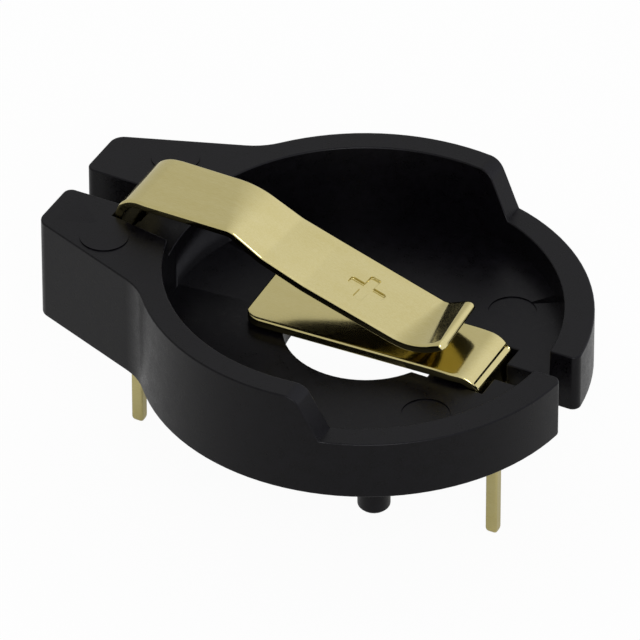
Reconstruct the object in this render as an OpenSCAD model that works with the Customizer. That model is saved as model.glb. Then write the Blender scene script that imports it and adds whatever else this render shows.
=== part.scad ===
// Through-hole holder for a single 20 mm coin cell.
// Origin: axis of the cell pocket, on the face that sits on the circuit board.
// +Z points away from the board. +X runs from the contact block to the open slot.

/* [Cell] */
// Diameter of the coin cell
cell_d = 20; // [16:0.1:23]
// Radial room between the cell and the tall wall
cell_clearance = 0.3; // [0.2:0.05:0.6]
// Radial room between the cell and the low wall opposite the block
stop_clearance = 0.02; // [0.01:0.01:0.15]

/* [Body] */
// Height of the tall wall and of the contact block
body_h = 5.8; // [5.2:0.1:7]
// Height of the low wall that the cell slides over
low_wall_h = 3.3; // [2.6:0.1:4]
// Thickness of the floor under the cell
floor_t = 1.8; // [1.4:0.1:2.2]
// Thickness of the tall wall
wall_t = 1.32; // [0.9:0.05:2]
// Diameter of the round window in the floor
window_d = 8.4; // [6:0.1:9]
// Length of the square notch at the side of the window, from the pocket axis
notch_l = 4.55; // [4.5:0.05:5.2]

/* [Tall wall ends] */
// Where the top edge of the tall wall ends, from the pocket axis
wall_end_x = 1.85; // [0:0.05:3]
// Slope of the wall's end face, from the horizontal
wall_end_angle = 63.5; // [45:0.5:85]
// Radius that rounds the top of the wall's end
wall_end_r = 0.9; // [0.2:0.1:1.5]

/* [Contact block] */
// Reach of the block from the pocket axis
block_l = 16.63; // [15.5:0.1:19]
// Width of the block at its free end
block_w = 8.32; // [7.4:0.1:10]
// Angle by which each side of the block widens towards the cup
block_taper = 20.5; // [10:0.5:28]
// Corner radius at the free end of the block
block_corner_r = 0.8; // [0.2:0.1:1.2]
// Fillet between the block and the cup
block_fillet_r = 3.5; // [1:0.1:6]
// Width of the slot along the block
block_slot_w = 1.9; // [1.2:0.1:2.4]
// Depth of the relief under the spring arm
relief_depth = 1.2; // [0.5:0.1:2]
// Width of the relief where it meets the pocket
relief_w = 5.2; // [4.6:0.1:6]

/* [Cup slot] */
// Width of the slot through the low wall
cup_slot_w = 1.75; // [1:0.05:2.4]
// Width of the slot through the floor
floor_slot_w = 1.35; // [0.8:0.05:2]
// Radius of the vertical edges where each slot opens
slot_edge_r = 0.45; // [0.2:0.05:0.6]

/* [Contacts] */
// Thickness of the contact strip
strip_t = 0.45; // [0.3:0.01:0.5]
// Width of the contact strip
strip_w = 4.3; // [3.4:0.1:4.6]
// Width of a contact's leg
leg_w = 4; // [3:0.1:4.2]
// Length over which the strip narrows to its leg
leg_taper_l = 1.6; // [0.8:0.1:2.5]
// Room between each face of a leg and its slit
leg_clearance = 0.08; // [0.03:0.01:0.12]
// Room at each end of a slit
slit_end_clearance = 0.06; // [0.04:0.01:0.2]
// Distance between the two pins
pin_pitch = 20.5; // [20.3:0.05:21.2]
// Distance of the lower contact's pin from the pocket axis
pin_x = 7.35; // [7.2:0.05:7.6]
// Thickness of a pin, along the row of pins
pin_t = 0.64; // [0.5:0.01:0.7]
// Width of a pin
pin_w = 0.6; // [0.5:0.01:0.8]
// Length of a pin below the board face
pin_l = 8.5; // [3:0.1:10]
// Radius that rounds the tip of a pin
pin_tip_r = 0.28; // [0.1:0.01:0.29]

/* [Upper contact] */
// Top of the spring arm above the block
arm_rise = 1.4; // [0.8:0.1:2]
// Where the arm leaves the level, from the pocket axis
arm_bend_x = -7.25; // [-8:0.05:-6.5]
// Length of the steep part of the arm, along the part
steep_run = 2.5; // [1.5:0.1:3.5]
// Slope of the steep part, from the horizontal
steep_angle = 26.6; // [15:0.1:32]
// Slope of the long part that presses on the cell
press_angle = 17.3; // [10:0.1:20]
// Where the arm turns up again, from the pocket axis
toe_x = 3.67; // [3:0.05:4.2]
// Length of the turned-up toe, along the part
toe_run = 1.6; // [1:0.1:2]
// Slope of the toe, from the horizontal
toe_angle = 28; // [15:1:40]
// Corner radius at the toe
toe_corner_r = 0.95; // [0.2:0.05:1.2]
// Length of each arm of the stamped plus sign, end to end
plus_l = 2; // [1:0.1:2.6]
// Width of each arm of the stamped plus sign
plus_w = 0.42; // [0.2:0.02:0.6]
// Depth of the stamped plus sign
plus_depth = 0.08; // [0.04:0.01:0.15]

/* [Lower contact] */
// Gap between the floor and the contact plate
plate_gap = 0.2; // [0.1:0.05:0.4]
// Reach of the plate's free end behind the pocket axis
plate_reach = 5.85; // [4:0.05:7]
// Corner radius at the free end of the plate
plate_corner_r = 0.7; // [0.2:0.05:1.2]

/* [Locating peg] */
// Diameter of the peg
peg_d = 1.68; // [1:0.02:2.4]
// Length of the peg below the board face
peg_l = 2.55; // [1:0.1:3.5]
// Distance of the peg from the pocket axis
peg_r = 9; // [8:0.1:10]
// Direction of the peg from the pocket axis
peg_angle = -60; // [-75:1:-40]
// Chamfer at the tip of the peg
peg_chamfer = 0.2; // [0.1:0.05:0.5]

/* [Ejector marks] */
// Diameter of the marks left by the ejector pins
mark_d = 2.5; // [1.5:0.1:2.7]
// Height or depth of the marks
mark_h = 0.06; // [0.03:0.01:0.12]
// Distance of the block's marks from the pocket axis, along the part
block_mark_x = 12.95; // [12.8:0.1:13.6]
// Distance of the block's marks from the middle plane
block_mark_y = 3.85; // [3.7:0.05:3.9]
// Distance of the floor's marks from the pocket axis
floor_mark_r = 7.65; // [7.2:0.05:8.2]
// Direction of the floor's marks, either side of the middle plane
floor_mark_angle = 39.5; // [35:0.5:60]

/* [Hidden] */

$fn = 96;
through = 1;                        // how far cutters run past a face
bend_steps = 14;                    // facets in one bend of a strip
corner_steps = 8;                   // facets in one rounded corner

pocket_r = cell_d / 2 + cell_clearance;
outer_r = pocket_r + wall_t;
outline_reach = max(outer_r, block_l) + through;

// The low wall's inner face is an arc that starts on the pocket circle at the wall ends
// and comes closer to the cell opposite the block.
wall_foot_x = wall_end_x + (body_h - low_wall_h) / tan(wall_end_angle);
stop_x = cell_d / 2 + stop_clearance;
wall_foot_y2 = pocket_r * pocket_r - wall_foot_x * wall_foot_x;
stop_arc_x = (stop_x * stop_x - wall_foot_x * wall_foot_x - wall_foot_y2)
    / (2 * (stop_x - wall_foot_x));
stop_arc_r = stop_x - stop_arc_x;

slit_w = leg_w + 2 * slit_end_clearance;
upper_leg_x = pin_x - pin_pitch;
plate_z = floor_t + plate_gap + strip_t / 2;
arm_z = body_h + arm_rise - strip_t / 2;
leg_foot_z = 0.4;                   // full-width legs end this far above the board face
leg_bend_r = 1.3;                   // centreline radius where the upper leg becomes the arm
arm_bend_r = 1;                     // centreline radius of the two shallow bends
toe_bend_r = 2.4;                   // centreline radius of the turned-up toe
plate_bend_r = 1.05;                // centreline radius where the plate becomes its leg

// ---------- small helpers ----------

function unit(v) = v / norm(v);
function left(v) = [-v[1], v[0]];
function turn(a, b) = atan2(a[0] * b[1] - a[1] * b[0], a * b);

// One rounded corner of a path: [point, direction] pairs along its arc.
function corner(before, at, after, r, steps) = let (
    din = unit(at - before),
    dout = unit(after - at),
    bend = turn(din, dout),
    side = sign(bend),
    start = at - din * r * abs(tan(bend / 2)),
    centre = start + left(din) * r * side
) [for (i = [0:steps]) let (
    a = bend * i / steps,
    d = [din[0] * cos(a) - din[1] * sin(a), din[0] * sin(a) + din[1] * cos(a)]
) [centre - left(d) * r * side, d]];

// A path with its corners rounded, as [point, direction] pairs.
function rounded_path(pts, radii) = let (last = len(pts) - 1) concat(
    [[pts[0], unit(pts[1] - pts[0])]],
    [for (i = [1:last - 1]) each corner(pts[i - 1], pts[i], pts[i + 1], radii[i - 1], bend_steps)],
    [[pts[last], unit(pts[last] - pts[last - 1])]]
);

// Closed outline of a strip of even thickness that follows a path.
function strip_outline(path, t) = let (last = len(path) - 1) concat(
    [for (p = path) p[0] + left(p[1]) * t / 2],
    [for (i = [last:-1:0]) path[i][0] - left(path[i][1]) * t / 2]
);

// A strip bent in the XZ plane, w wide and centred on the middle plane.
module bent_strip(path, w) {
    translate([0, w / 2, 0])
        rotate([90, 0, 0])
            linear_extrude(w)
                polygon(strip_outline(path, strip_t));
}

// Cutter for one rounded corner: d1 and d2 point from the arc's centre to its two ends.
module corner_cutter(centre, r, d1, d2) {
    difference() {
        polygon([centre, centre + 2 * r * d1, centre + 2 * r * (d1 + d2), centre + 2 * r * d2]);
        translate(centre) circle(r);
    }
}

// The same shape on both sides of the middle plane.
module both_sides() {
    children();
    mirror([0, 1, 0]) children();
}

// ---------- body ----------

// Fillet between one side of the block and the round cup.
module block_fillet() {
    along = [cos(block_taper), sin(block_taper)];
    outward = left(along);
    q = [-block_l, block_w / 2] + outward * block_fillet_r;
    b = q * along;
    reach = -b - sqrt(b * b - q * q + pow(outer_r + block_fillet_r, 2));
    centre = q + along * reach;
    on_side = centre - outward * block_fillet_r;
    on_cup = centre * outer_r / norm(centre);
    difference() {
        polygon([on_side, centre, on_cup, 0.8 * on_cup, on_side + [0, -wall_t]]);
        translate(centre) circle(block_fillet_r);
    }
}

module block_outline() {
    slope = tan(block_taper);
    half_end = block_w / 2;
    run = block_l - outer_r * cos(45);
    polygon([
        [-block_l, -half_end],
        [-block_l, half_end],
        [-block_l + run, half_end + slope * run],
        [0, 0],
        [-block_l + run, -half_end - slope * run]
    ]);
}

// Rounds the outer corner and the slot's corner of one lobe of the block.
module lobe_corners() {
    s = sin(block_taper);
    c = cos(block_taper);
    corner_cutter(
        [-block_l + block_corner_r, block_w / 2 + block_corner_r * (s - 1) / c],
        block_corner_r, [-1, 0], [-s, c]
    );
    corner_cutter(
        [-block_l + slot_edge_r, block_slot_w / 2 + slot_edge_r],
        slot_edge_r, [-1, 0], [0, -1]
    );
}

// Rounds the outer corner of the low wall beside the cup's slot.
module slot_corner() {
    y = cup_slot_w / 2 + slot_edge_r;
    centre = [sqrt(pow(outer_r - slot_edge_r, 2) - y * y), y];
    corner_cutter(centre, slot_edge_r, unit(centre), [0, -1]);
}

module body_outline() {
    difference() {
        union() {
            circle(outer_r);
            block_outline();
            both_sides() block_fillet();
        }
        both_sides() lobe_corners();
        both_sides() slot_corner();
    }
}

// Everything above the low wall, with the sloping end faces of the tall wall.
module above_low_wall() {
    tangent = wall_end_r * tan(wall_end_angle / 2);
    centre = [wall_end_x - tangent, body_h - wall_end_r];
    arc = [for (i = [0:corner_steps])
        let (a = 90 - wall_end_angle + wall_end_angle * i / corner_steps)
        centre + wall_end_r * [cos(a), sin(a)]];
    translate([0, outline_reach, 0])
        rotate([90, 0, 0])
            linear_extrude(2 * outline_reach)
                polygon(concat(
                    [[wall_foot_x, low_wall_h]],
                    arc,
                    [[centre[0], body_h + through],
                     [outline_reach, body_h + through],
                     [outline_reach, low_wall_h]]
                ));
}

module pocket() {
    translate([0, 0, floor_t])
        intersection() {
            cylinder(r = pocket_r, h = body_h);
            translate([stop_arc_x, 0, 0]) cylinder(r = stop_arc_r, h = body_h);
        }
}

module window() {
    translate([0, 0, -through]) cylinder(d = window_d, h = floor_t + 2 * through);
    translate([0, -slit_w / 2, -through]) cube([notch_l, slit_w, floor_t + 2 * through]);
}

// Upright channel through the whole body, centred on the row of pins.
module channel(x, size_x, size_y) {
    translate([x - size_x / 2, -size_y / 2, -through])
        cube([size_x, size_y, body_h + 2 * through]);
}

// Slit for one leg, with room in its middle for the thicker pin.
module leg_slit(x) {
    channel(x, strip_t + 2 * leg_clearance, slit_w);
    channel(x, pin_t + 2 * leg_clearance, pin_w + 2 * leg_clearance);
}

// Lead-in on the floor's edge, clear of the inside of the lower contact's bend.
module bend_lead_in() {
    translate([0, slit_w / 2, 0])
        rotate([90, 0, 0])
            linear_extrude(slit_w)
                polygon([
                    [pin_x - plate_bend_r, floor_t + through],
                    [pin_x - plate_bend_r, floor_t],
                    [pin_x - strip_t / 2 - leg_clearance, plate_z - plate_bend_r],
                    [pin_x, plate_z - plate_bend_r],
                    [pin_x, floor_t + through]
                ]);
}

module block_slot() {
    translate([-outline_reach, -block_slot_w / 2, -through])
        cube([outline_reach + upper_leg_x, block_slot_w, body_h + 2 * through]);
}

// Slot from the slit out through the floor, and wider through the low wall.
module cup_slot() {
    wall_x = sqrt(stop_arc_r * stop_arc_r - cup_slot_w * cup_slot_w / 4) + stop_arc_x;
    translate([pin_x, -floor_slot_w / 2, -through])
        cube([wall_x - pin_x + through, floor_slot_w, floor_t + 2 * through]);
    translate([wall_x, -cup_slot_w / 2, -through])
        cube([outline_reach, cup_slot_w, body_h + 2 * through]);
}

// Relief under the arm, widening from the slit to the pocket.
module arm_relief() {
    reach_x = -sqrt(pocket_r * pocket_r - relief_w * relief_w / 4);
    flare = (relief_w - slit_w) / (reach_x - upper_leg_x);
    end_w = relief_w + flare * wall_t;
    translate([0, 0, body_h - relief_depth])
        linear_extrude(relief_depth + through)
            polygon([
                [upper_leg_x, slit_w / 2],
                [reach_x + wall_t, end_w / 2],
                [reach_x + wall_t, -end_w / 2],
                [upper_leg_x, -slit_w / 2]
            ]);
}

module block_mark() {
    translate([-block_mark_x, block_mark_y, body_h - through])
        cylinder(d = mark_d, h = through + mark_h);
}

module floor_mark() {
    rotate([0, 0, floor_mark_angle])
        translate([floor_mark_r, 0, floor_t - mark_h])
            cylinder(d = mark_d, h = through);
}

module peg() {
    straight = peg_l - peg_chamfer;
    rotate([0, 0, peg_angle])
        translate([peg_r, 0, 0])
            rotate([180, 0, 0]) {
                translate([0, 0, -floor_t / 2]) cylinder(d = peg_d, h = floor_t / 2 + straight);
                translate([0, 0, straight])
                    cylinder(d1 = peg_d, d2 = peg_d - 2 * peg_chamfer, h = peg_chamfer);
            }
}

module body() {
    color([0.13, 0.12, 0.15]) {
        difference() {
            union() {
                linear_extrude(body_h) body_outline();
                both_sides() block_mark();
            }
            pocket();
            above_low_wall();
            window();
            leg_slit(upper_leg_x);
            leg_slit(pin_x);
            bend_lead_in();
            block_slot();
            cup_slot();
            arm_relief();
            both_sides() floor_mark();
        }
        peg();
    }
}

// ---------- contacts ----------

// One square pin with a rounded tip, from its leg down through the board.
module pin(x) {
    half = pin_w / 2;
    tip = [for (side = [1, -1], i = [0:corner_steps])
        let (a = side > 0 ? 90 * i / corner_steps : 90 - 90 * i / corner_steps)
        [side * (half - pin_tip_r + pin_tip_r * cos(a)), -pin_l + pin_tip_r * (1 - sin(a))]];
    translate([x - pin_t / 2, 0, 0])
        rotate([90, 0, 90])
            linear_extrude(pin_t)
                polygon(concat([[-half, leg_foot_z + pin_w], [half, leg_foot_z + pin_w]], tip));
}

// Rounds both corners at one end of a strip, seen from above.
module strip_end_cutter(end_x, r, toward) {
    translate([0, 0, -through])
        linear_extrude(body_h + arm_rise + 2 * through)
            both_sides()
                corner_cutter([end_x - toward * r, strip_w / 2 - r], r, [toward, 0], [0, 1]);
}

// Narrows a strip to the width of its leg: inward points along X from the leg to the strip.
module leg_shoulders(leg_x, inward) {
    outside = leg_x - inward * strip_t;
    narrow = leg_x + inward * strip_t / 2;
    wide = narrow + inward * leg_taper_l;
    translate([0, 0, -through])
        linear_extrude(body_h + arm_rise + 2 * through)
            both_sides()
                polygon([
                    [outside, leg_w / 2],
                    [narrow, leg_w / 2],
                    [wide, strip_w / 2],
                    [wide, strip_w],
                    [outside, strip_w]
                ]);
}

module plus_stamp() {
    linear_extrude(through) {
        square([plus_l, plus_w], center = true);
        square([plus_w, plus_l], center = true);
    }
}

// Corners of the upper contact's centreline, from the foot of its leg to its toe.
upper_bend = [arm_bend_x, arm_z];
upper_press = upper_bend + steep_run * [1, -tan(steep_angle)];
upper_toe = upper_press + (toe_x - upper_press[0]) * [1, -tan(press_angle)];
upper_end = upper_toe + toe_run * [1, tan(toe_angle)];

module upper_contact() {
    path = rounded_path(
        [[upper_leg_x, leg_foot_z], [upper_leg_x, arm_z],
         upper_bend, upper_press, upper_toe, upper_end],
        [leg_bend_r, arm_bend_r, arm_bend_r, toe_bend_r]
    );
    plus_z = upper_press[1] + upper_press[0] * tan(press_angle);
    color([0.83, 0.76, 0.5]) {
        difference() {
            bent_strip(path, strip_w);
            leg_shoulders(upper_leg_x, 1);
            strip_end_cutter(upper_end[0] + strip_t * sin(toe_angle) / 2, toe_corner_r, 1);
            translate([0, 0, plus_z])
                rotate([0, press_angle, 0])
                    translate([0, 0, strip_t / 2 - plus_depth])
                        plus_stamp();
        }
        pin(upper_leg_x);
    }
}

module lower_contact() {
    path = rounded_path(
        [[-plate_reach, plate_z], [pin_x, plate_z], [pin_x, leg_foot_z]],
        [plate_bend_r]
    );
    color([0.83, 0.76, 0.5]) {
        difference() {
            bent_strip(path, strip_w);
            leg_shoulders(pin_x, -1);
            strip_end_cutter(-plate_reach, plate_corner_r, -1);
        }
        pin(pin_x);
    }
}

body();
upper_contact();
lower_contact();
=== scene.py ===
import math

import bmesh
import bpy
import numpy as np
from mathutils import Matrix, Vector


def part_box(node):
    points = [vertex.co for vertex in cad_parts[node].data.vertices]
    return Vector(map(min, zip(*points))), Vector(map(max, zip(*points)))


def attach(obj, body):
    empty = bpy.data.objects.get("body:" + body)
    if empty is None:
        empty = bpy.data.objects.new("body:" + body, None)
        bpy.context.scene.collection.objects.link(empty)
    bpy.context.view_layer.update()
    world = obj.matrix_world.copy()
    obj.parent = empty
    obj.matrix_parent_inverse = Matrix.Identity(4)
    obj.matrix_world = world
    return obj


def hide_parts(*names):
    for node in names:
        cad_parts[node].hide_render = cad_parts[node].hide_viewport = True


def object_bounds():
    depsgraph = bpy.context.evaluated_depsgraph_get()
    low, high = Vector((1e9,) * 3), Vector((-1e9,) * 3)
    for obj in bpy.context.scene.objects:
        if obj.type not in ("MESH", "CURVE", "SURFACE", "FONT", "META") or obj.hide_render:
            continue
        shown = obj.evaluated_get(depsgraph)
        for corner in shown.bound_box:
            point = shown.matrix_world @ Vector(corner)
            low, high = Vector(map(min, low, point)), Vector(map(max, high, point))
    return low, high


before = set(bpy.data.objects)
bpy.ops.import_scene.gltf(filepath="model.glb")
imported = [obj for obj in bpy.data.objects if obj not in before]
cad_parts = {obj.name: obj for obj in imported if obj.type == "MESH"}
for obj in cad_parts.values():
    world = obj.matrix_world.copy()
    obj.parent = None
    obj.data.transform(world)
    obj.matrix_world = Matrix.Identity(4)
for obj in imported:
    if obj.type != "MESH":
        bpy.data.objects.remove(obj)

# Black moulded cup with two gold-plated spring contacts. Blender works in metres. The dictionaries
# are in millimetres and degrees, apart from the studio's, which is in metres.
mm = 0.001
cadBounds = [list(corner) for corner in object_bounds()]
print("frame loaded, box in mm:", [[round(v / mm, 2) for v in corner] for corner in cadBounds])


def addPiece(name, data):
    piece = bpy.data.objects.new(name, data)
    bpy.context.scene.collection.objects.link(piece)
    return piece


def meshFromGrid(name, points, quads):
    mesh = bpy.data.meshes.new(name)
    mesh.from_pydata(points.reshape(-1, 3), [], quads.reshape(-1, 4))
    return addPiece(name, mesh)


def mergePoints(mesh, distance):
    # joins points that lie on each other, so that seams and poles are closed
    work = bmesh.new()
    work.from_mesh(mesh)
    bmesh.ops.remove_doubles(work, verts=work.verts, dist=distance)
    bmesh.ops.dissolve_degenerate(work, edges=work.edges, dist=distance)
    bmesh.ops.recalc_face_normals(work, faces=work.faces)
    work.to_mesh(mesh)
    work.free()


def gridQuads(rows, columns):
    # Quads of a grid whose columns close on themselves: each point, its neighbour, and the same
    # two one row on.
    row, column = np.meshgrid(np.arange(rows - 1), np.arange(columns), indexing="ij")
    after = (column + 1) % columns
    return np.stack([row * columns + column, row * columns + after,
                     (row + 1) * columns + after, (row + 1) * columns + column], axis=-1)


def smoothShade(piece, angle):
    piece.data.shade_smooth()
    piece.data.set_sharp_from_angle(angle=math.radians(angle))


def smoothStep(low, high, value):
    # 0 below the low value, 1 above the high one, and 3t^2 - 2t^3 between them
    t = np.clip((value - low) / (high - low), 0, 1)
    return t * t * (3 - 2 * t)


# what the two contacts share: each is a strip carried along a bent route
strip = {
    "thickness": 0.45,
    "width": 4.3,
    "legWidth": 4.0,
    "taperLength": 1.6,     # the strip narrows to its leg over this length
    "topRoll": 0.15,        # radius of the upper edges, rolled over by the die
    "underRoll": 0.05,
    "leastRoll": 0.004,     # edges get no sharper than this
    "footHeight": 0.4,      # the full-width leg ends this far above the board
    "beforeFoot": (-0.1, -0.02, 0.0),       # stations where the pin widens at once to the leg
    "afterFoot": (0.0005, 0.03, 0.08),
    "pinThickness": 0.64,
    "pinWidth": 0.6,
    "pinRoll": 0.12,
    "tipLength": 0.34,
    "tipThickness": 0.45,   # share of the pin's thickness that is left at its tip
    "closeInset": 0.2,      # the end face closes on a line this far in from both edges
    "routeSamples": 1500,   # on each straight and each bend
    "straightStep": 0.3,    # between stations
    "bendStep": 0.06,
    "rollSteps": 6,         # round each long edge
    "endSteps": 11,         # round each corner of the outline
    "underPlaces": 9,       # points across the underside
    "mergeWithin": 0.0004,
    "shadeAngle": 42,
}

# Bends of the arm: distance along X from the row of pins, height of the middle line above the
# arm's level, and radius, along the near edge and along the far edge. The bends are a little
# askew, as on the pressed part.
springArm = {
    "near": [(0, 0, 1.3), (6.5, 0.0, 0.9), (8.2, -1.05, 1.6), (10.6, -1.99, 4.0),
             (16.95, -3.915, 3.2)],
    "far": [(0, 0, 1.3), (5.85, -0.05, 4.6), (8.4, -1.25, 2.0), (10.6, -1.95, 4.0),
            (16.72, -3.84, 0.8)],
    "nearEnd": (18.62, -2.95),
    "farEnd": (18.3, -3.08),
    "nearCorner": 0.5,
    "farCorner": 0.3,
    "endRoll": 0.3,
    "rollGrowsOver": 1.5,   # the upper edges are rounder towards the toe
    "plusLength": 2.05,
    "plusWidth": 0.56,
    "plusDepth": 0.13,
    "plusWall": 0.045,
    "plusCorner": 0.15,
    "plusFromPin": 13.15,
    "plusMargin": 0.1,      # the close points reach this far past the plus sign
    "plusStep": 0.018,
    "edgePlaces": 14,       # points from there across to either edge
}

# The plate in the floor: its leg leans from a knee below it, its bend lies askew too, a crease
# runs across it just over the turn, and the plate itself swings a little to the near side.
cellPlate = {
    "kneeBelow": 1.6,
    "kneeRadius": 2.0,
    "near": (-0.15, 0, 1.0),
    "far": (-0.22, 0, 1.2),
    "nearCorner": 0.95,
    "farCorner": 0.45,
    "endRoll": 0.1,
    "rollGrowsOver": 1.0,
    "creaseAngle": 133,     # direction of the strip at the crease
    "creaseDepth": 0.11,
    "creaseRise": 0.1,
    "creaseFall": 0.22,
    "creaseMargin": 0.02,
    "creaseStations": 24,
    "swing": 2.3,
    "swingFrom": 5.0,       # X at which the swing begins
    "swingBlend": 2.0,
    "topPlaces": 41,        # points across the top
}


def routeAlong(corners, radii, samples):
    # The direction is even on each straight and turns evenly through each bend, and small steps in
    # that direction add up to the place. The samples are counted in straights and bends, so two
    # routes with the same bends match. The rows given back are distance, X, Z and direction.
    corners = np.array(corners, float)
    legs = np.diff(corners, axis=0)
    lengths = np.hypot(legs[:, 0], legs[:, 1])
    headings = np.unwrap(np.arctan2(legs[:, 1], legs[:, 0]))
    turns = np.diff(headings)
    trims = np.array(radii) * np.abs(np.tan(turns / 2))
    steps = np.zeros(2 * len(lengths) - 1)
    steps[0::2] = lengths - np.append(0, trims) - np.append(trims, 0)
    steps[1::2] = np.array(radii) * np.abs(turns)
    knots = np.append(0, np.cumsum(steps))
    distance = np.interp(samples, np.arange(len(knots)), knots)
    heading = np.interp(samples, np.arange(len(knots)), np.repeat(headings, 2))
    step = np.diff(distance)
    middle = (heading[1:] + heading[:-1]) / 2
    x = corners[0, 0] + np.append(0, np.cumsum(np.cos(middle) * step))
    z = corners[0, 1] + np.append(0, np.cumsum(np.sin(middle) * step))
    return np.stack([distance, x, z, heading])


def routePair(nearCorners, nearRadii, farCorners, farRadii):
    # the routes of the two edges on the same samples, and the distance along the line halfway
    # between them
    spans = 2 * len(nearRadii) + 1
    samples = np.linspace(0, spans, spans * strip["routeSamples"] + 1)
    near = routeAlong(nearCorners, nearRadii, samples)
    far = routeAlong(farCorners, farRadii, samples)
    middle = (near + far) / 2
    length = np.append(0, np.cumsum(np.hypot(np.diff(middle[1]), np.diff(middle[2]))))
    return {"near": near, "far": far, "middle": middle, "length": length,
            "knots": np.interp(np.arange(spans + 1), samples, length)}


def ringTemplate(topPlaces):
    # One turn round the strip's section. Each row says where its point is counted from (u across,
    # v through) and its direction from there (cu, cv): flat on top, round the corners, down the
    # sides and flat below.
    quarter = np.linspace(0, np.pi / 2, strip["rollSteps"] + 1)[1:-1]

    def flat(places, v):
        level, none = np.full(places.size, v), np.zeros(places.size)
        return np.stack([places, level, none, level], 1)

    def corner(u, v, start):
        angle, ones = start - quarter, np.ones(quarter.size)
        return np.stack([u * ones, v * ones, np.cos(angle), np.sin(angle)], 1)

    def side(u):
        return np.array([[u, u, u, 0.0], [u, -u, u, 0.0]])

    under = np.linspace(1, -1, strip["underPlaces"])
    return np.concatenate([flat(topPlaces, 1.0), corner(1.0, 1.0, np.pi / 2), side(1.0),
                           corner(1.0, -1.0, 0), flat(under, -1.0),
                           corner(-1.0, -1.0, -np.pi / 2), side(-1.0), corner(-1.0, 1.0, np.pi)])


def sweepStrip(name, pair, section, topPlaces, dent, outward):
    # Carries the section along the pair of routes. Across: u times (half width - roll) plus cu
    # times roll. Through: the same with v, cv and the half thickness, around a level that sinks
    # where the top is rolled over. The place is then the mix of the near and the far middle line
    # for that much across, pushed along the normal, which is turned over (outward -1) where the
    # route runs the other way and the top would end up below.
    u, v, cu, cv = ringTemplate(topPlaces).T
    columns = (part[:, None] for part in section)
    stations, nearWide, farWide, top, under, topRoll, underRoll = columns
    wide = np.where(u > 0, farWide, nearWide)
    roll = np.where(v > 0, topRoll, underRoll)
    across = u * (wide - roll) + cu * roll
    through = np.where(v > 0, top - topRoll, underRoll - under) + cv * roll
    through = outward * (through - np.where(cv == 1, dent(stations, across), 0))
    share = np.clip(across / strip["width"] + 0.5, 0, 1)
    near = [np.interp(stations, pair["length"], line) for line in pair["near"]]
    far = [np.interp(stations, pair["length"], line) for line in pair["far"]]
    x, z, heading = (near[i] + (far[i] - near[i]) * share for i in (1, 2, 3))
    x, z = x - np.sin(heading) * through, z + np.cos(heading) * through
    points = np.stack([x, across, z], axis=-1) * mm
    piece = meshFromGrid(name, points, gridQuads(stations.size, u.size))
    mergePoints(piece.data, strip["mergeWithin"] * mm)
    smoothShade(piece, strip["shadeAngle"])
    return piece


def rollInset(distanceToEnd, roll):
    # how far a face has dropped, this near to an end that is rounded with this radius
    inside = np.clip(roll - distanceToEnd, 0, roll)
    return roll - np.sqrt(np.maximum(roll ** 2 - inside ** 2, 0))


def stationList(pair, extra):
    # Stations close together in the bends, wider on the straights, with any extra ones. They are
    # rounded, so that those which fall together count once.
    knots = pair["knots"]
    steps = strip["straightStep"], strip["bendStep"]
    spans = [np.linspace(a, b, max(2, int((b - a) / steps[i % 2]) + 2))
             for i, (a, b) in enumerate(zip(knots[:-1], knots[1:]))]
    return np.unique(np.concatenate(spans + extra).round(5))


def contactSection(pair, footAt, taperAt, end, extra):
    # Half width to the near and the far edge, height above and below the middle line, and the
    # upper and lower edge radius at each station, counted from the tip of the pin: pin, full-width
    # leg, the taper out to the strip, and the rounded free end.
    s = strip
    freeEnd = pair["length"][-1]
    quarter = np.linspace(0, np.pi / 2, s["endSteps"] + 1)
    tip = s["tipLength"] * (1 - np.cos(quarter))
    foot = footAt + np.array(s["beforeFoot"] + s["afterFoot"])
    ends = [freeEnd - end[size] * (1 - np.sin(quarter))
            for size in ("nearCorner", "farCorner", "endRoll")]
    stations = stationList(pair, [tip, foot, extra] + ends)
    toEnd = freeEnd - stations
    leg = stations > footAt + s["afterFoot"][0] / 2
    taper = np.clip((stations - taperAt) / s["taperLength"], 0, 1)
    wide = s["legWidth"] / 2 + taper * (s["width"] - s["legWidth"]) / 2
    nearWide = wide - rollInset(toEnd, end["nearCorner"])
    farWide = wide - rollInset(toEnd, end["farCorner"])
    half = s["thickness"] / 2
    atEnd = 1 - smoothStep(0, end["rollGrowsOver"], toEnd)
    grown = s["topRoll"] + (end["endRoll"] - s["topRoll"]) * atEnd
    topDrop, underDrop = rollInset(toEnd, end["endRoll"]), rollInset(toEnd, s["underRoll"])
    # a round tip in the pin's width, less so in its thickness
    inTip = np.clip(1 - stations / s["tipLength"], 0, 1)
    shrink = np.sqrt(np.maximum(1 - inTip ** 2, 0))
    pinWide = s["pinWidth"] / 2 * shrink
    thinned = s["tipThickness"] + (1 - s["tipThickness"]) * shrink
    pinHalf = s["pinThickness"] / 2 * thinned * (inTip < 1)
    pinRoll = np.minimum(s["pinRoll"], np.minimum(pinWide, pinHalf))
    parts = [stations,
             np.where(leg, nearWide, pinWide),
             np.where(leg, farWide, pinWide),
             np.where(leg, half - topDrop, pinHalf),
             np.where(leg, half - underDrop, pinHalf),
             np.where(leg, np.maximum(grown - topDrop, s["leastRoll"]), pinRoll),
             np.where(leg, np.maximum(s["underRoll"] - underDrop, s["leastRoll"]), pinRoll)]
    # the end face closes on a line halfway up what is left of the thickness
    level = (parts[3][-1] - parts[4][-1]) / 2
    closing = [stations[-1], nearWide[-1] - s["closeInset"], farWide[-1] - s["closeInset"],
               level, -level, 0, 0]
    return [np.append(part, last) for part, last in zip(parts, closing)]


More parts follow.
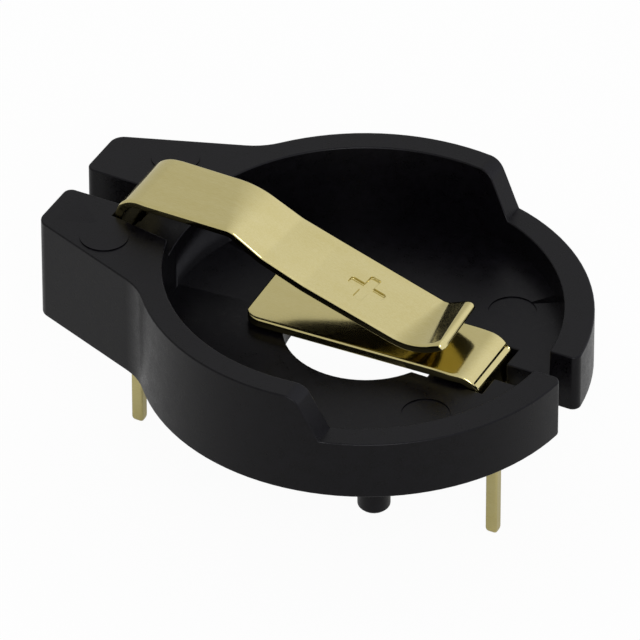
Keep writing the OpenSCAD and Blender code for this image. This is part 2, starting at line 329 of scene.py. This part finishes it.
def upperContact():
    low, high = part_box("upper_contact")
    a, s = springArm, strip
    pinX = low.x / mm + s["pinThickness"] / 2
    armZ = high.z / mm - s["thickness"] / 2
    tipZ = low.z / mm

    def corners(side):
        bends = [(pinX + x, armZ + z) for x, z, _ in a[side]]
        x, z = a[side + "End"]
        radii = [radius for _, _, radius in a[side]]
        return [(pinX, tipZ)] + bends + [(pinX + x, armZ + z)], radii

    pair = routePair(*corners("near"), *corners("far"))
    footAt = s["footHeight"] - tipZ
    taperAt = np.interp(pinX + s["thickness"] / 2, pair["middle"][1], pair["length"])
    plusAt = np.interp(pinX + a["plusFromPin"], pair["middle"][1], pair["length"])
    half, arm, corner = a["plusLength"] / 2, a["plusWidth"] / 2, a["plusCorner"]

    def barDistance(along, aside, halfLong, halfWide):
        # Distance outside a bar with rounded corners: how far past the bar less its corners, minus
        # the corner radius.
        over = np.maximum(np.abs(along) - halfLong + corner, 0)
        beside = np.maximum(np.abs(aside) - halfWide + corner, 0)
        return np.hypot(over, beside) - corner

    def plusDent(along, across):
        # full depth inside either bar of the plus sign, nothing outside both, and a short steep
        # wall between
        outside = np.minimum(barDistance(along - plusAt, across, half, arm),
                             barDistance(along - plusAt, across, arm, half))
        return a["plusDepth"] * (1 - smoothStep(-a["plusWall"], 0, outside))

    reach = half + a["plusMargin"]
    fine = np.arange(-reach, reach, a["plusStep"])
    flatHalf = s["width"] / 2 - s["topRoll"]
    edge = np.linspace(reach, flatHalf, a["edgePlaces"])
    places = np.concatenate([-edge[::-1], fine, edge]) / flatHalf
    section = contactSection(pair, footAt, taperAt, a, plusAt + fine)
    return sweepStrip("springArm", pair, section, places, plusDent, 1)


def lowerContact():
    low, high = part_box("lower_contact")
    p, s = cellPlate, strip
    pinX = high.x / mm - s["pinThickness"] / 2
    plateZ = high.z / mm - s["thickness"] / 2

    def corners(side):
        x, z, radius = p[side]
        return ([(pinX, low.z / mm), (pinX, plateZ - p["kneeBelow"]),
                 (pinX + x, plateZ + z), (low.x / mm, plateZ)], [p["kneeRadius"], radius])

    pair = routePair(*corners("near"), *corners("far"))
    footAt = s["footHeight"] - low.z / mm
    taperAt = np.interp(-(pinX - s["thickness"] / 2), -pair["middle"][1], pair["length"])
    turn = np.interp(math.radians(p["creaseAngle"]), pair["middle"][3], pair["length"])

    def crease(along, across):
        # The same all the way across: it falls off gently on the side of the leg and rises steeply
        # on the side of the plate.
        past = along - turn
        inCrease = np.where(past > 0, 1 - past / p["creaseRise"], 1 + past / p["creaseFall"])
        return p["creaseDepth"] * np.clip(inCrease, 0, 1)

    extra = turn + np.linspace(-p["creaseFall"] - p["creaseMargin"],
                               p["creaseRise"] + p["creaseMargin"], p["creaseStations"])
    section = contactSection(pair, footAt, taperAt, p, extra)
    places = np.linspace(-1, 1, p["topPlaces"])
    piece = sweepStrip("cellPlate", pair, section, places, crease, -1)
    swingPlate(piece.data)
    return piece


def swingPlate(mesh):
    # Beyond the given X the points go sideways by the tangent of the swing for each unit further
    # on, and along X by the same share of their place across, which comes in over the blend.
    places = np.empty(len(mesh.vertices) * 3)
    mesh.vertices.foreach_get("co", places)
    x, y, z = places.reshape(-1, 3).T
    swing = math.tan(math.radians(cellPlate["swing"]))
    past = np.maximum(cellPlate["swingFrom"] * mm - x, 0)
    blend = np.minimum(past / (cellPlate["swingBlend"] * mm), 1)
    moved = np.stack([x - y * swing * blend, y - past * swing, z], axis=1)
    mesh.vertices.foreach_set("co", moved.ravel())
    mesh.update()


upperPiece = upperContact()
lowerPiece = lowerContact()
print("contacts made:", len(upperPiece.data.polygons), len(lowerPiece.data.polygons), "faces")


moulding = {
    "edgeRadius": 0.07,
    "edgeSteps": 3,
    "mergeWithin": 0.0005,
    "sharpAngle": 28.0,
    "flatAngle": 0.3,       # neighbouring faces less bent than this become one
    "roundAngle": 1.5,      # and upright ones less bent than this
    "uprightBelow": 0.5,    # a face is upright where its normal has less of Z than this
    "levelAbove": 0.999,    # and level where it has more than this
    "markStep": 0.1,        # steps lower than this are ejector marks and stay crisp
    "wall": 1.32,           # thickness of the round wall
    "windowRadius": 4.2,
    "onWall": 0.015,        # a point this near to a round wall's radius lies on it
    "facesOut": 0.985,      # if its face looks along the radius at least this much
}


def isUpright(face):
    return abs(face.normal.z) < moulding["uprightBelow"]


def stepHeight(face):
    # how high an upright face is; a level one is no step
    heights = [point.co.z for point in face.verts]
    return max(heights) - min(heights) if isUpright(face) else math.inf


def roundedBody():
    # a copy of the moulding, joined into one skin, with its outer edges rounded
    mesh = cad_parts["body"].data.copy()
    mesh.name = "cupMoulding"
    piece = addPiece("cupMoulding", mesh)
    work = bmesh.new()
    work.from_mesh(mesh)
    bmesh.ops.remove_doubles(work, verts=work.verts, dist=moulding["mergeWithin"] * mm)
    bmesh.ops.dissolve_limit(work, angle_limit=math.radians(moulding["flatAngle"]),
                             verts=work.verts, edges=work.edges)
    upright = [edge for edge in work.edges if all(isUpright(face) for face in edge.link_faces)]
    bmesh.ops.dissolve_limit(work, angle_limit=math.radians(moulding["roundAngle"]),
                             verts=[], edges=upright)
    weight = work.edges.layers.float.new("bevel_weight_edge")
    sharp = math.radians(moulding["sharpAngle"])
    for edge in work.edges:
        if len(edge.link_faces) != 2 or edge.calc_face_angle_signed(0) < sharp:
            continue
        if min(stepHeight(face) for face in edge.link_faces) > moulding["markStep"] * mm:
            edge[weight] = 1.0
    work.to_mesh(mesh)
    work.free()
    bevel = piece.modifiers.new("edges", "BEVEL")
    bevel.limit_method = "WEIGHT"
    bevel.width = moulding["edgeRadius"] * mm
    bevel.segments = moulding["edgeSteps"]
    bevel.use_clamp_overlap = False
    bevel.miter_outer = "MITER_ARC"
    smoothShade(piece, moulding["sharpAngle"])
    weighted = piece.modifiers.new("weights", "WEIGHTED_NORMAL")
    weighted.keep_sharp = True
    finished = piece.evaluated_get(bpy.context.evaluated_depsgraph_get())
    piece.data = bpy.data.meshes.new_from_object(finished)
    piece.modifiers.clear()
    trueNormals(piece.data)
    return piece


def trueNormals(mesh):
    # Shading follows the moulding's real surfaces: straight up or down on level faces, and
    # straight out from the middle on the round walls, whose points lie at one of the known radii
    # and whose faces look that way.
    corners, faces = len(mesh.loops), len(mesh.polygons)
    normals, faceNormals = np.empty(corners * 3), np.empty(faces * 3)
    places = np.empty(len(mesh.vertices) * 3)
    cornerPoint, faceSize = np.empty(corners, int), np.empty(faces, int)
    mesh.corner_normals.foreach_get("vector", normals)
    mesh.polygon_normals.foreach_get("vector", faceNormals)
    mesh.vertices.foreach_get("co", places)
    mesh.loops.foreach_get("vertex_index", cornerPoint)
    mesh.polygons.foreach_get("loop_total", faceSize)
    normals = normals.reshape(-1, 3)
    faceNormal = np.repeat(faceNormals.reshape(-1, 3), faceSize, axis=0)
    place = places.reshape(-1, 3)[cornerPoint]
    level = np.abs(faceNormal[:, 2]) > moulding["levelAbove"]
    normals[level] = faceNormal[level]
    radius = np.hypot(place[:, 0], place[:, 1])
    out = np.zeros_like(place)
    out[:, :2] = place[:, :2] / np.maximum(radius, 1e-9)[:, None]
    facing = np.sum(out * faceNormal, axis=1)
    alongRadius = np.abs(facing) > moulding["facesOut"]
    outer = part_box("body")[1].y
    for wall in (outer, outer - moulding["wall"] * mm, moulding["windowRadius"] * mm):
        turned = (np.abs(radius - wall) < moulding["onWall"] * mm) & alongRadius
        normals[turned] = out[turned] * np.sign(facing[turned])[:, None]
    mesh.normals_split_custom_set(normals.tolist())


bodyPiece = roundedBody()
print("body made")


# Two sizes of unevenness that both surfaces have: the finer one also gives the height.
unevenness = {
    "fineDetail": 3,
    "broadDetail": 2,
    "broadShare": 0.35,
}

plastic = {
    "colour": (0.0004, 0.0003, 0.0005, 1),
    "paleColour": (0.0022, 0.0018, 0.0030, 1),   # tops of the grain
    "roughness": (0.26, 0.42),
    "specular": 0.15,
    "fine": 0.09,           # size of the spark-eroded grain
    "broad": 0.6,
    "stretch": (1, 1, 1),
    "contrast": 3.2,
    "height": 0.005,
    "bump": 0.8,
}

gold = {
    "colour": (0.54, 0.465, 0.195, 1),
    "paleColour": (0.59, 0.52, 0.25, 1),
    "roughness": (0.08, 0.17),
    "fine": 0.05,           # width of the faint lines left by rolling the strip
    "broad": 0.9,
    "stretch": (0.12, 1, 1),    # they run along X
    "contrast": 3.0,
    "height": 0.0015,
    "bump": 0.25,
}


def newMaterial(name):
    material = bpy.data.materials.new(name)
    material.use_nodes = True
    tree = material.node_tree
    return material, tree.nodes, tree.links, tree.nodes["Principled BSDF"]


def addNode(nodes, kind, **settings):
    node = nodes.new(kind)
    for key, value in settings.items():
        setattr(node, key, value)
    return node


def mottleGroup():
    # Two sizes of noise: a mask from 0 to 1 for colour and roughness, and a height for bump.
    group = bpy.data.node_groups.new("surfaceMottle", "ShaderNodeTree")
    for label, kind in (("Vector", "NodeSocketVector"), ("Fine Scale", "NodeSocketFloat"),
                        ("Broad Scale", "NodeSocketFloat"), ("Contrast", "NodeSocketFloat")):
        group.interface.new_socket(label, in_out="INPUT", socket_type=kind)
    for label in ("Mask", "Height"):
        group.interface.new_socket(label, in_out="OUTPUT", socket_type="NodeSocketFloat")
    nodes, links = group.nodes, group.links
    given, out = nodes.new("NodeGroupInput"), nodes.new("NodeGroupOutput")
    fine = addNode(nodes, "ShaderNodeTexNoise")
    fine.inputs["Detail"].default_value = unevenness["fineDetail"]
    broad = addNode(nodes, "ShaderNodeTexNoise")
    broad.inputs["Detail"].default_value = unevenness["broadDetail"]
    for noise, scale in ((fine, "Fine Scale"), (broad, "Broad Scale")):
        links.new(given.outputs["Vector"], noise.inputs["Vector"])
        links.new(given.outputs[scale], noise.inputs["Scale"])
    mix = addNode(nodes, "ShaderNodeMix", data_type="FLOAT")
    mix.inputs["Factor"].default_value = unevenness["broadShare"]
    links.new(fine.outputs["Fac"], mix.inputs["A"])
    links.new(broad.outputs["Fac"], mix.inputs["B"])
    # the mask is one half plus the contrast times how far the noise is from one half
    centred = addNode(nodes, "ShaderNodeMath", operation="SUBTRACT")
    centred.inputs[1].default_value = 0.5
    spread = addNode(nodes, "ShaderNodeMath", operation="MULTIPLY_ADD", use_clamp=True)
    spread.inputs[2].default_value = 0.5
    links.new(mix.outputs["Result"], centred.inputs[0])
    links.new(centred.outputs[0], spread.inputs[0])
    links.new(given.outputs["Contrast"], spread.inputs[1])
    links.new(spread.outputs[0], out.inputs["Mask"])
    links.new(fine.outputs["Fac"], out.inputs["Height"])
    return group


surfaceMottle = mottleGroup()


def mixColours(nodes, links, mask, low, high):
    # a Mix node has its factor at 0, its two colours at 6 and 7, and puts the colour out at 2
    mix = addNode(nodes, "ShaderNodeMix", data_type="RGBA")
    links.new(mask, mix.inputs[0])
    for socket, value in ((mix.inputs[6], low), (mix.inputs[7], high)):
        if isinstance(value, tuple):
            socket.default_value = value
        else:
            links.new(value, socket)
    return mix.outputs[2]


def addMottle(nodes, links, shader, look):
    # the mottle, on the piece's own coordinates, drives colour, roughness and a fine bump
    place = nodes.new("ShaderNodeTexCoord")
    mapping = nodes.new("ShaderNodeMapping")
    mapping.inputs["Scale"].default_value = look["stretch"]
    mottle = addNode(nodes, "ShaderNodeGroup", node_tree=surfaceMottle)
    mottle.inputs["Fine Scale"].default_value = 1 / (look["fine"] * mm)
    mottle.inputs["Broad Scale"].default_value = 1 / (look["broad"] * mm)
    mottle.inputs["Contrast"].default_value = look["contrast"]
    links.new(place.outputs["Object"], mapping.inputs["Vector"])
    links.new(mapping.outputs["Vector"], mottle.inputs["Vector"])
    colour = mixColours(nodes, links, mottle.outputs["Mask"], look["colour"], look["paleColour"])
    links.new(colour, shader.inputs["Base Color"])
    spread = nodes.new("ShaderNodeMapRange")
    spread.inputs["To Min"].default_value, spread.inputs["To Max"].default_value = look["roughness"]
    links.new(mottle.outputs["Mask"], spread.inputs["Value"])
    links.new(spread.outputs["Result"], shader.inputs["Roughness"])
    bump = nodes.new("ShaderNodeBump")
    bump.inputs["Strength"].default_value = look["bump"]
    bump.inputs["Distance"].default_value = look["height"] * mm
    links.new(mottle.outputs["Height"], bump.inputs["Height"])
    links.new(bump.outputs["Normal"], shader.inputs["Normal"])


def plasticMaterial():
    material, nodes, links, shader = newMaterial("blackMouldedPlastic")
    shader.inputs["Specular IOR Level"].default_value = plastic["specular"]
    addMottle(nodes, links, shader, plastic)
    return material


def goldMaterial():
    material, nodes, links, shader = newMaterial("paleGoldPlate")
    shader.inputs["Metallic"].default_value = 1
    addMottle(nodes, links, shader, gold)
    return material


blackPlastic = plasticMaterial()
goldPlate = goldMaterial()
for piece, material, slotName, node in ((bodyPiece, blackPlastic, "black_plastic", "body"),
                                        (upperPiece, goldPlate, "gold_plate", "upper_contact"),
                                        (lowerPiece, goldPlate, "gold_plate", "lower_contact")):
    piece.data.materials.clear()
    piece.data.materials.append(material)
    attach(piece, "root")
    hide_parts(node)
print("materials made")


studio = {
    "floorSize": 3.0,
    "floorColour": (0.8, 0.8, 0.8, 1),
    "floorWhite": 0.95,     # share of plain white that the camera sees on the floor
    "floorMirrored": 0.1,   # and that the object's own reflections see there
    "worldFill": (0.75, 0.75, 0.75, 1),
    "dimSide": (0.70, 0.70, 0.70, 1),     # what the metal reflects from the left
    "brightSide": (1.12, 1.13, 1.25, 1),  # and from the right
    "dimUpTo": -0.55,       # it changes between these two shares of X
    "brightFrom": 0.35,
    "frontLamp": {"power": 1.0, "size": 0.2, "azimuth": 33, "elevation": 37, "distance": 0.5},
}

# where the camera stands, how far to the right and above the middle of its view the object's
# origin lies, and its lens
camera = {
    "azimuth": 27.487,
    "elevation": 36.65,
    "roll": -0.044,
    "distance": 526.7,
    "aside": 2.313,
    "above": -1.94,
    "lens": 582.3,
    "sensor": 36,
    "clipStart": 10,
    "clipEnd": 20000,
}


def mathNode(nodes, links, operation, first, second):
    node = addNode(nodes, "ShaderNodeMath", operation=operation)
    for socket, value in zip(node.inputs, (first, second)):
        if isinstance(value, (int, float)):
            socket.default_value = value
        else:
            links.new(value, socket)
    return node.outputs[0]


def viewRays(nodes, links):
    # what comes straight from the camera, and what comes off or through the object
    path = nodes.new("ShaderNodeLightPath")
    mirrored = mathNode(nodes, links, "MAXIMUM", path.outputs["Is Glossy Ray"],
                        path.outputs["Is Transmission Ray"])
    return path.outputs["Is Camera Ray"], mirrored


def makeWorld():
    # white behind the object, a softer fill on it, and in the metal one side of the room a little
    # brighter
    world = bpy.data.worlds.new("studio")
    bpy.context.scene.world = world
    world.use_nodes = True
    nodes, links = world.node_tree.nodes, world.node_tree.links
    place = nodes.new("ShaderNodeTexCoord")
    split = nodes.new("ShaderNodeSeparateXYZ")
    links.new(place.outputs["Generated"], split.inputs[0])
    side = addNode(nodes, "ShaderNodeMapRange", interpolation_type="SMOOTHSTEP")
    side.inputs["From Min"].default_value = studio["dimUpTo"]
    side.inputs["From Max"].default_value = studio["brightFrom"]
    links.new(split.outputs["X"], side.inputs["Value"])
    cameraRay, mirrorRay = viewRays(nodes, links)
    room = mixColours(nodes, links, side.outputs["Result"], studio["dimSide"], studio["brightSide"])
    fill = mixColours(nodes, links, mirrorRay, studio["worldFill"], room)
    seen = mixColours(nodes, links, cameraRay, fill, (1.0, 1.0, 1.0, 1.0))
    links.new(seen, nodes["Background"].inputs["Color"])


def makeFloor():
    # a plain diffuse floor, mixed with white for the camera and a little for the reflections
    side = studio["floorSize"] / 2
    floorZ = cadBounds[0][2]
    points = np.array([[-side, -side, floorZ], [side, -side, floorZ],
                       [side, side, floorZ], [-side, side, floorZ]])
    floor = meshFromGrid("floor", points, np.array([[0, 1, 2, 3]]))
    material, nodes, links, _ = newMaterial("paleFloor")
    nodes.clear()
    out = nodes.new("ShaderNodeOutputMaterial")
    diffuse = nodes.new("ShaderNodeBsdfDiffuse")
    diffuse.inputs["Color"].default_value = studio["floorColour"]
    white = nodes.new("ShaderNodeEmission")
    mix = nodes.new("ShaderNodeMixShader")
    cameraRay, mirrorRay = viewRays(nodes, links)
    seen = mathNode(nodes, links, "MAXIMUM",
                    mathNode(nodes, links, "MULTIPLY", cameraRay, studio["floorWhite"]),
                    mathNode(nodes, links, "MULTIPLY", mirrorRay, studio["floorMirrored"]))
    links.new(seen, mix.inputs["Fac"])
    links.new(diffuse.outputs[0], mix.inputs[1])
    links.new(white.outputs[0], mix.inputs[2])
    links.new(mix.outputs[0], out.inputs["Surface"])
    floor.data.materials.append(material)


def awayFrom(azimuth, elevation):
    # unit direction from the object: azimuth from the front towards the right, elevation above
    # the floor
    a, e = math.radians(azimuth), math.radians(elevation)
    return Vector((math.sin(a) * math.cos(e), -math.cos(a) * math.cos(e), math.sin(e)))


def softLamp(name, lamp):
    light = bpy.data.lights.new(name, "AREA")
    light.energy = lamp["power"]
    light.size = lamp["size"]
    away = awayFrom(lamp["azimuth"], lamp["elevation"])
    piece = addPiece(name, light)
    piece.location = away * lamp["distance"]
    piece.rotation_euler = away.to_track_quat("Z", "Y").to_euler()


def makeCamera():
    azimuth = math.radians(camera["azimuth"])
    back = awayFrom(camera["azimuth"], camera["elevation"])
    right = Vector((math.cos(azimuth), math.sin(azimuth), 0))
    up = back.cross(right)
    data = bpy.data.cameras.new("camera")
    data.sensor_width = camera["sensor"]
    data.lens = camera["lens"]
    data.clip_start = camera["clipStart"] * mm
    data.clip_end = camera["clipEnd"] * mm
    piece = addPiece("camera", data)
    place = (back * camera["distance"] - right * camera["aside"] - up * camera["above"]) * mm
    turn = Matrix((right, up, back)).transposed()
    turn = turn @ Matrix.Rotation(math.radians(camera["roll"]), 3, "Z")
    piece.matrix_world = Matrix.Translation(place) @ turn.to_4x4()
    bpy.context.scene.camera = piece


makeWorld()
makeFloor()
softLamp("frontLamp", studio["frontLamp"])
makeCamera()
bpy.context.scene.view_settings.view_transform = "Standard"
print("studio made")
